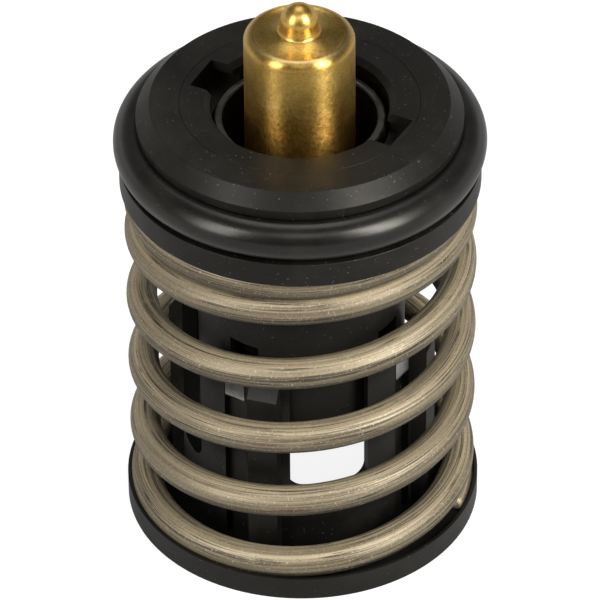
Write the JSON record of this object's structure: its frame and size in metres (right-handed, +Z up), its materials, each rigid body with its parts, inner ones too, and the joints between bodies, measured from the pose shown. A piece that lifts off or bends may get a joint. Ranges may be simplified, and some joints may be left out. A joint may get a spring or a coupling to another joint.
{
  "type": "engine thermostat",
  "caption": "Cartridge thermostat insert: sealed flange and guide tube sprung over a plastic cage that holds a brass wax capsule and a metal sleeve.",
  "frame": {"origin": "centre of the base ring's lower face, on the valve axis", "axes": "+Z up the valve axis from the base ring to the capsule's nipple; -Y looks into one of the four cage windows"},
  "size_m": [0.056, 0.056, 0.0919],
  "materials": {
    "black_plastic": "satin moulded",
    "rubber": "semi-gloss",
    "spring_steel": "drawn wire, tempered",
    "stainless_sheet": "satin",
    "brass": "brushed, tarnished",
    "wax": "copper-filled wax, sealed inside",
    "white_plastic": "fluoropolymer"
  },
  "bodies": {
    "cage_unit": {"cage": "black_plastic", "carrier": "stainless_sheet", "valve_sleeve": "stainless_sheet", "capsule_cup": "brass", "capsule_guide": "brass", "retaining_ring": "stainless_sheet", "wax_charge": "wax", "rubber_boot": "rubber", "backup_washer": "white_plastic", "spring": "spring_steel"},
    "flange_unit": {"flange_ring": "black_plastic", "o_ring": "rubber", "guide_tube": "black_plastic", "sleeve_seal": "rubber", "piston_bridge": "stainless_sheet", "piston": "stainless_sheet"}
  },
  "joints": [
    {"name": "flange_slide", "type": "slide", "parent": "cage_unit", "child": "flange_unit", "axis": [0, 0, -1], "range_m": [0, 0.0076], "stiffness_N_per_m": 10000, "springref_m": -0.012, "deforming": ["spring"]}
  ]
}
